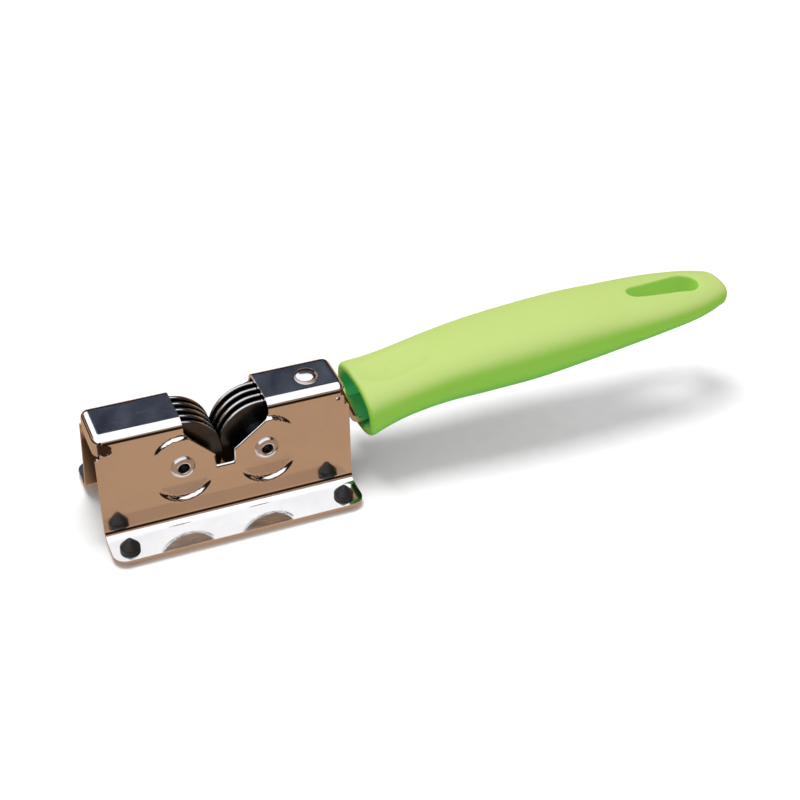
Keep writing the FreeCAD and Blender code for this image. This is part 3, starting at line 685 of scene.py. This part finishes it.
NOTCH = [
    (21.9, 40.0), (21.9, 26.6), (22.7, 25.6), (29.6, 18.7), (29.6, 15.2),
    (34.2, 15.2), (34.2, 18.7), (42.9, 25.6), (43.7, 26.6), (43.7, 40.0),
]
NOTCH_ROLL, NOTCH_ROLL_WIDTH = 0.55, 1.5    # how the walls curl in along the notch
NOTCH_ROLL_FADE = (25.0, 27.0)              # the curl ends between these heights
NOTCH_SPAN, NOTCH_LOW = (15, 50), 10        # no point of the notch lies outside these
FOOT_HOLES = [(x, 16.4, 1.9) for x in (4.6, 60.4)]
RIVET_HOLE = (56.4, 1.6)
CELL = 0.45                             # of the grid laid over the flat blank
NORMAL_REACH = 0.02                     # the surface's slopes are taken over this much
BEYOND_OPEN, BEYOND_TAIL = 5.0, 10.0    # how far the grid runs past the plate, for the lips


def smooth(value, start, end):
    """A soft step from 0 to 1 between two values."""
    share = max(0.0, min(1.0, (value - start) / (end - start)))
    return share * share * (3 - 2 * share)


def cross_section(run):
    """Half width and height of the outer face at a distance along it from the middle line."""
    lean = math.atan(WALL_LEAN)
    half_turn = math.tan((math.pi / 2 - lean) / 2)
    turn = math.pi / 2 - lean
    flat = TOP_HALF - TOP_FOLD * half_turn
    wall_length = math.hypot(BASE_HALF - TOP_HALF, PLATE_TOP - FLANGE_TOP)
    wall_length -= (TOP_FOLD + FOOT_FOLD) * half_turn
    if run <= flat:
        return run, PLATE_TOP
    run -= flat
    if run <= TOP_FOLD * turn:
        angle = run / TOP_FOLD
        return flat + TOP_FOLD * math.sin(angle), PLATE_TOP - TOP_FOLD * (1 - math.cos(angle))
    run -= TOP_FOLD * turn
    if run <= wall_length:
        start = flat + TOP_FOLD * math.sin(turn), PLATE_TOP - TOP_FOLD * (1 - math.cos(turn))
        return start[0] + run * math.sin(lean), start[1] - run * math.cos(lean)
    run -= wall_length
    shelf = BASE_HALF + FOOT_FOLD * half_turn
    if run <= FOOT_FOLD * turn:
        angle = turn - run / FOOT_FOLD
        return shelf - FOOT_FOLD * math.sin(angle), FLANGE_TOP + FOOT_FOLD * (1 - math.cos(angle))
    return shelf + run - FOOT_FOLD * turn, FLANGE_TOP


def notch_distance(x, z):
    """Signed distance to the notch's outline, positive in the steel."""
    best, inside = 1e9, False
    for (x0, z0), (x1, z1) in zip(NOTCH, NOTCH[1:] + NOTCH[:1]):
        along_x, along_z = x1 - x0, z1 - z0
        share = ((x - x0) * along_x + (z - z0) * along_z) / (along_x ** 2 + along_z ** 2)
        share = max(0.0, min(1.0, share))
        best = min(best, math.hypot(x - x0 - share * along_x, z - z0 - share * along_z))
        if (z0 > z) != (z1 > z) and x < x0 + (z - z0) * along_x / along_z:
            inside = not inside
    return -best if inside else best


def sheet_point(x, run):
    """The folded place of a point of the flat blank."""
    side = math.copysign(1.0, run)
    y, z = cross_section(abs(run))
    if abs(run) > LIP_HALF + LIP_SLACK:
        for axle_x, axle_z in AXLES:
            rise = z - axle_z
            reach = math.hypot(x - axle_x, rise if rise > 0 else rise / BOSS_STRETCH)
            border = max(0.0, reach - BOSS_INNER) / (BOSS_OUTER - BOSS_INNER)
            pressed = 1 - smooth(border ** BOSS_EASE, 0, 1)
            y += pressed * (BOSS_FACE - y)
        curl = NOTCH_ROLL * (1 - smooth(z, *NOTCH_ROLL_FADE))
        if curl > 0 and NOTCH_SPAN[0] < x < NOTCH_SPAN[1]:
            gap = max(0.0, min(1.0, notch_distance(x, z) / NOTCH_ROLL_WIDTH))
            y -= curl * (1 - math.sqrt(1 - (1 - gap) ** 2))
    else:
        for start, toward, turn in ((LIP_FOLD, -1, OPEN_LIP_TURN),
                                    (PLATE_LENGTH - LIP_START, 1, TAIL_LIP_TURN)):
            beyond = (x - start) * toward
            if beyond > 0:
                angle = min(turn, beyond / LIP_FOLD)
                straight = beyond - LIP_FOLD * angle
                radius = LIP_FOLD + z - PLATE_TOP
                x = start + toward * (radius * math.sin(angle) + straight * math.cos(angle))
                z = PLATE_TOP - LIP_FOLD + radius * math.cos(angle) - straight * math.sin(angle)
                break
    return Vector((x, side * y, z))


def steel_margin(x, run):
    """Positive where the flat blank has steel, roughly the distance to the nearest cut."""
    y, z = cross_section(abs(run))
    edge = BASE_HALF + FLANGE_REACH
    body = min(x, PLATE_LENGTH - x, edge - y)
    for setback, height in ((LIP_START, SPLIT_HEIGHT), (WALL_SETBACK, CLEAR_HEIGHT)):
        from_end = min(x, PLATE_LENGTH - x)
        body = min(body, max(from_end - setback, height - z))
    into_x, into_y = FLANGE_CORNER - min(x, PLATE_LENGTH - x), FLANGE_CORNER - (edge - y)
    if into_x > 0 and into_y > 0:
        body = min(body, FLANGE_CORNER - math.hypot(into_x, into_y))
    open_length = LIP_FOLD * OPEN_LIP_TURN + OPEN_LIP_FLAT
    tail_length = LIP_FOLD * TAIL_LIP_TURN + TAIL_LIP_FLAT
    strip = min(LIP_HALF - abs(run), x - LIP_FOLD + open_length,
                PLATE_LENGTH - LIP_START + tail_length - x)
    margin = max(body, strip)
    for hole_x, hole_z, radius in RELIEFS:
        if z < PLATE_TOP - 1:
            margin = min(margin, math.hypot(x - hole_x, z - hole_z) - radius)
    for hole_x, hole_z in AXLES:
        if z < PLATE_TOP - TOP_FOLD:
            margin = min(margin, math.hypot(x - hole_x, z - hole_z) - AXLE_TUBE / MM)
    for hole_x, hole_y, radius in FOOT_HOLES:
        if z < FLANGE_TOP + 0.1:
            margin = min(margin, math.hypot(x - hole_x, y - hole_y) - radius)
    if z == PLATE_TOP:
        margin = min(margin, math.hypot(x - RIVET_HOLE[0], y) - RIVET_HOLE[1])
    if NOTCH_SPAN[0] < x < NOTCH_SPAN[1] and z > NOTCH_LOW:
        margin = min(margin, notch_distance(x, z))
    return margin


def add_housing(node, material):
    """The housing folded from a flat blank: both faces, and the cut edge between them."""
    low_x, high_x = -BEYOND_OPEN, PLATE_LENGTH + BEYOND_TAIL
    half_run = 0.0
    while cross_section(half_run)[0] < BASE_HALF + FLANGE_REACH + CELL:
        half_run += CELL
    columns = int(round((high_x - low_x) / CELL))
    rows = int(round(2 * half_run / CELL))
    margin = {}
    for i in range(columns + 1):
        for j in range(rows + 1):
            margin[i, j] = steel_margin(low_x + i * CELL, -half_run + j * CELL) or 1e-6

    flat, lookup = [], {}

    def corner(key, x, run):
        if key not in lookup:
            lookup[key] = len(flat)
            flat.append((x, run))
        return lookup[key]

    polygons = []
    for i in range(columns):
        for j in range(rows):
            cell = [(i, j), (i + 1, j), (i + 1, j + 1), (i, j + 1)]
            if max(margin[c] for c in cell) <= 0:
                continue
            polygon = []
            for first, second in zip(cell, cell[1:] + cell[:1]):
                one, other = margin[first], margin[second]
                if one > 0:
                    polygon.append(corner(first, low_x + first[0] * CELL, -half_run + first[1] * CELL))
                if (one > 0) != (other > 0):
                    share = max(0.02, min(0.98, one / (one - other)))
                    x = low_x + (first[0] + share * (second[0] - first[0])) * CELL
                    run = -half_run + (first[1] + share * (second[1] - first[1])) * CELL
                    polygon.append(corner(tuple(sorted((first, second))), x, run))
            if len(polygon) > 2:
                polygons.append(polygon)

    outer, normals = [], []
    for x, run in flat:
        along = sheet_point(x + NORMAL_REACH, run) - sheet_point(x - NORMAL_REACH, run)
        across = sheet_point(x, run + NORMAL_REACH) - sheet_point(x, run - NORMAL_REACH)
        normals.append(along.cross(across).normalized())
        outer.append(sheet_point(x, run))
    inner = [place - SHEET * normal for place, normal in zip(outer, normals)]
    shift = Vector((OPEN_END / MM, 0, 0))
    places = [(place + shift) * MM for place in outer + inner]

    count = len(flat)
    edges = {}
    for polygon in polygons:
        for first, second in zip(polygon, polygon[1:] + polygon[:1]):
            edges[first, second] = True
    rim = [(first, second) for first, second in edges if (second, first) not in edges]
    faces = [list(polygon) for polygon in polygons]
    faces += [[count + index for index in reversed(polygon)] for polygon in polygons]
    faces += [[second, first, count + first, count + second] for first, second in rim]

    mesh = bpy.data.meshes.new(node + "_detail")
    mesh.from_pydata([tuple(place) for place in places], [], faces)
    mesh.validate()
    mesh.shade_smooth()
    mesh.materials.append(material)
    loop_normals = []
    for face in mesh.polygons:
        for index in face.vertices:
            if face.index < len(polygons):
                loop_normals.append(normals[index])
            elif face.index < 2 * len(polygons):
                loop_normals.append(-normals[index - count])
            else:
                loop_normals.append(face.normal.copy())
    mesh.normals_split_custom_set(loop_normals)
    stand_for(add_object(node + "_detail", mesh), node)


# ------------------------------------------------------------------ handle

# Cross-sections in millimetres: place from the housing's open end, height of the centre,
# half width and half height.
HANDLE_SECTIONS = [
    (69.6, 18.5, 12.4, 7.8),
    (75.0, 19.8, 11.65, 7.05),
    (82.0, 21.4, 11.3, 6.7),
    (92.0, 23.2, 11.6, 6.95),
    (104.0, 24.4, 12.3, 7.55),
    (118.0, 25.4, 12.65, 7.85),
    (132.0, 26.7, 12.5, 7.35),
    (146.0, 27.7, 11.95, 6.2),
    (158.0, 28.5, 11.2, 5.2),
    (168.0, 28.9, 9.7, 4.5),
    (175.0, 29.2, 7.5, 3.9),
    (178.2, 29.2, 5.4, 3.2),
    (180.1, 29.0, 2.9, 2.0),
    (180.8, 29.0, 0.9, 0.7),
]
NOSE_LENGTH = 4.2                       # of the rounded tip
MOUTH_TILT = math.tan(math.radians(5.0))
MOUTH_TILT_PLACE = 72.0                 # the sections lean by the whole tilt up to here
MOUTH_FLOOR = 82.0                      # place where the recess in the mouth ends
MOUTH_WALL, MOUTH_LIP = 2.6, 1.3        # wall's thickness, and length of its rounded rim
THUMB_PLACE, THUMB_DEPTH = 81.0, 0.9    # of the dent for the thumb
THUMB_HALF_LENGTH, THUMB_HALF_WIDTH = 10.5, 5.4
RING_STEP = 0.6                         # between the handle's cross-sections
SLOT_START, SLOT_END = 152.0, 167.9     # centres of the hanging slot's two round ends
SLOT_NARROW, SLOT_WIDE = 2.3, 3.9       # their radii, with the rims' rounding
HANDLE_GRAIN = 0.45 * MM                # cell size of the remeshed handle


def handle_section(place):
    """Centre height, half width and half height at a place, by cubic interpolation."""
    rows = HANDLE_SECTIONS
    index = max(i for i, row in enumerate(rows[:-1]) if row[0] <= place or i == 0)
    before, after = rows[index], rows[index + 1]
    span = after[0] - before[0]
    share = (place - before[0]) / span

    def slope(row, column):
        low, high = max(row - 1, 0), min(row + 1, len(rows) - 1)
        return (rows[high][column] - rows[low][column]) / (rows[high][0] - rows[low][0])

    values = []
    for column in (1, 2, 3):
        start, end = before[column], after[column]
        start_slope, end_slope = slope(index, column) * span, slope(index + 1, column) * span
        square, cube = share ** 2, share ** 3
        values.append((2 * cube - 3 * square + 1) * start + (cube - 2 * square + share) * start_slope
                      + (3 * square - 2 * cube) * end + (cube - square) * end_slope)
    return values


def handle_skin():
    """The handle without its hanging slot: rings from the recess's floor round to the tip."""
    segments = 160
    first, last = HANDLE_SECTIONS[0][0], HANDLE_SECTIONS[-1][0]
    nose = last - NOSE_LENGTH
    # Each ring is (place, inset): the recess's floor, its wall, the rounded lip, the outside.
    path = [(MOUTH_FLOOR, MOUTH_WALL + 3), (MOUTH_FLOOR, MOUTH_WALL + 0.6)]
    path += [(place, MOUTH_WALL) for place in (MOUTH_FLOOR - 0.6, 79, 76, 73.5)]
    for step in range(9):
        angle = math.pi * step / 8
        path.append((first + MOUTH_LIP * (1 - math.sin(angle)), MOUTH_WALL / 2 * (1 + math.cos(angle))))
    place = first + MOUTH_LIP + RING_STEP / 2
    while place < nose:
        path.append((place, 0))
        place += RING_STEP
    for step in range(1, 25):
        path.append((nose + NOSE_LENGTH * math.sin(math.pi / 2 * step / 24), 0))

    bm = bmesh.new()
    rings = []
    for place, inset in path:
        centre, half_width, half_height = handle_section(min(place, nose))
        shrink = 1.0
        if place > nose:
            shrink = math.sqrt(max(0.0, 1 - ((place - nose) / NOSE_LENGTH) ** 2))
        ring = []
        for step in range(segments):
            angle = 2 * math.pi * step / segments
            ring.append(bm.verts.new(handle_point(place, centre, half_width - inset,
                                                  half_height - inset, angle, shrink, inset)))
        rings.append(ring)
    for one, other in zip(rings, rings[1:]):
        for step in range(segments):
            following = (step + 1) % segments
            bm.faces.new((one[step], one[following], other[following], other[step]))
    bm.faces.new(rings[0])
    bmesh.ops.remove_doubles(bm, verts=bm.verts, dist=1e-7)
    bmesh.ops.recalc_face_normals(bm, faces=bm.faces)
    return bm


def slot_cutter():
    """A drop-shaped prism: two arcs and their common tangents."""
    spread = math.asin((SLOT_WIDE - SLOT_NARROW) / (SLOT_END - SLOT_START))
    side = math.pi / 2 + spread
    outline = []
    for centre, radius, start, sweep in ((SLOT_END, SLOT_WIDE, -side, 2 * side),
                                         (SLOT_START, SLOT_NARROW, side, 2 * (math.pi - side))):
        for step in range(33):
            angle = start + sweep * step / 32
            outline.append((OPEN_END + (centre + radius * math.cos(angle)) * MM,
                            radius * math.sin(angle) * MM))
    bm = bmesh.new()
    low = [bm.verts.new((x, y, 10 * MM)) for x, y in outline]
    high = [bm.verts.new((x, y, 45 * MM)) for x, y in outline]
    bm.faces.new(list(reversed(low)))
    bm.faces.new(high)
    for step in range(len(outline)):
        following = (step + 1) % len(outline)
        bm.faces.new((low[step], low[following], high[following], high[step]))
    return bm


def temporary(name, bm):
    mesh = bpy.data.meshes.new(name)
    bm.to_mesh(mesh)
    bm.free()
    return add_object(name, mesh)


def add_handle(node, material):
    """The skin less the slot, remeshed evenly and smoothed so that every rim turns soft."""
    blank = temporary("handle_blank", handle_skin())
    cutter = temporary("slot_cutter", slot_cutter())
    cut = blank.modifiers.new("slot", "BOOLEAN")
    cut.operation = "DIFFERENCE"
    cut.solver = "EXACT"
    cut.object = cutter
    even = blank.modifiers.new("even", "REMESH")
    even.mode = "VOXEL"
    even.voxel_size = HANDLE_GRAIN
    soft = blank.modifiers.new("soft", "SMOOTH")
    soft.factor = 0.5
    soft.iterations = 7
    shaped = blank.evaluated_get(bpy.context.evaluated_depsgraph_get())
    bm = bmesh.new()
    bm.from_mesh(shaped.to_mesh())
    shaped.to_mesh_clear()
    for spare in (blank, cutter):
        mesh = spare.data
        bpy.data.objects.remove(spare)
        bpy.data.meshes.remove(mesh)
    piece = add_piece(node, bm, (0, 0, 0), material)
    piece.modifiers.clear()
    piece.visible_diffuse = False       # keeps its green off the neutral shadow on the floor
    return piece


def handle_point(place, centre, half_width, half_height, angle, shrink, inset):
    """A point of the handle's flattened oval section, lowered where the thumb dent is."""
    across, up = math.cos(angle), math.sin(angle)
    power = 2 / (2.7 if up > 0 else 2.3)
    y = half_width * shrink * math.copysign(abs(across) ** power, across)
    z = half_height * shrink * math.copysign(abs(up) ** power, up)
    if up > 0 and inset == 0:
        reach = math.hypot((place - THUMB_PLACE) / THUMB_HALF_LENGTH, y / THUMB_HALF_WIDTH)
        z -= THUMB_DEPTH * max(0.0, 1 - reach ** 4)
    lean = MOUTH_TILT * max(0.0, min(1.0, (MOUTH_FLOOR - place) / (MOUTH_FLOOR - MOUTH_TILT_PLACE)))
    return Vector((OPEN_END + (place - lean * z) * MM, y * MM, (centre + z) * MM))


# ------------------------------------------------------------------ put together

add_camera()
add_stage()

sheet = polished_sheet()
disc_steel = ground_disc()
axle_steel = plain_steel("axle_steel", (0.74, 0.75, 0.78), 0.16)
spacer_steel = plain_steel("spacer_steel", (0.30, 0.30, 0.31), 0.34)
tang_steel = plain_steel("tang_steel", (0.80, 0.79, 0.78), 0.12, (0.15, 4, 4))
rivet_steel = plain_steel("rivet_steel", (0.86, 0.86, 0.87), 0.06, dents=0.06 * MM)
rubber = foot_rubber()
plastic = handle_plastic()

for node, item in NODES.items():
    if SLOT_OF[node] == "disc_steel":
        add_disc(node, disc_steel)
    elif SLOT_OF[node] == "axle_steel":
        add_axle(node, axle_steel)
    elif SLOT_OF[node] == "foot_rubber":
        add_foot(node, rubber)
    elif node == "tang_rivet":
        add_rivet(node, rivet_steel)
    elif node == "handle":
        add_handle(node, plastic)
    elif node == "housing":
        add_housing(node, sheet)
    else:
        finish = tang_steel if node == "tang" else spacer_steel
        item.material_slots[0].material = finish
        weigh_normals(item)
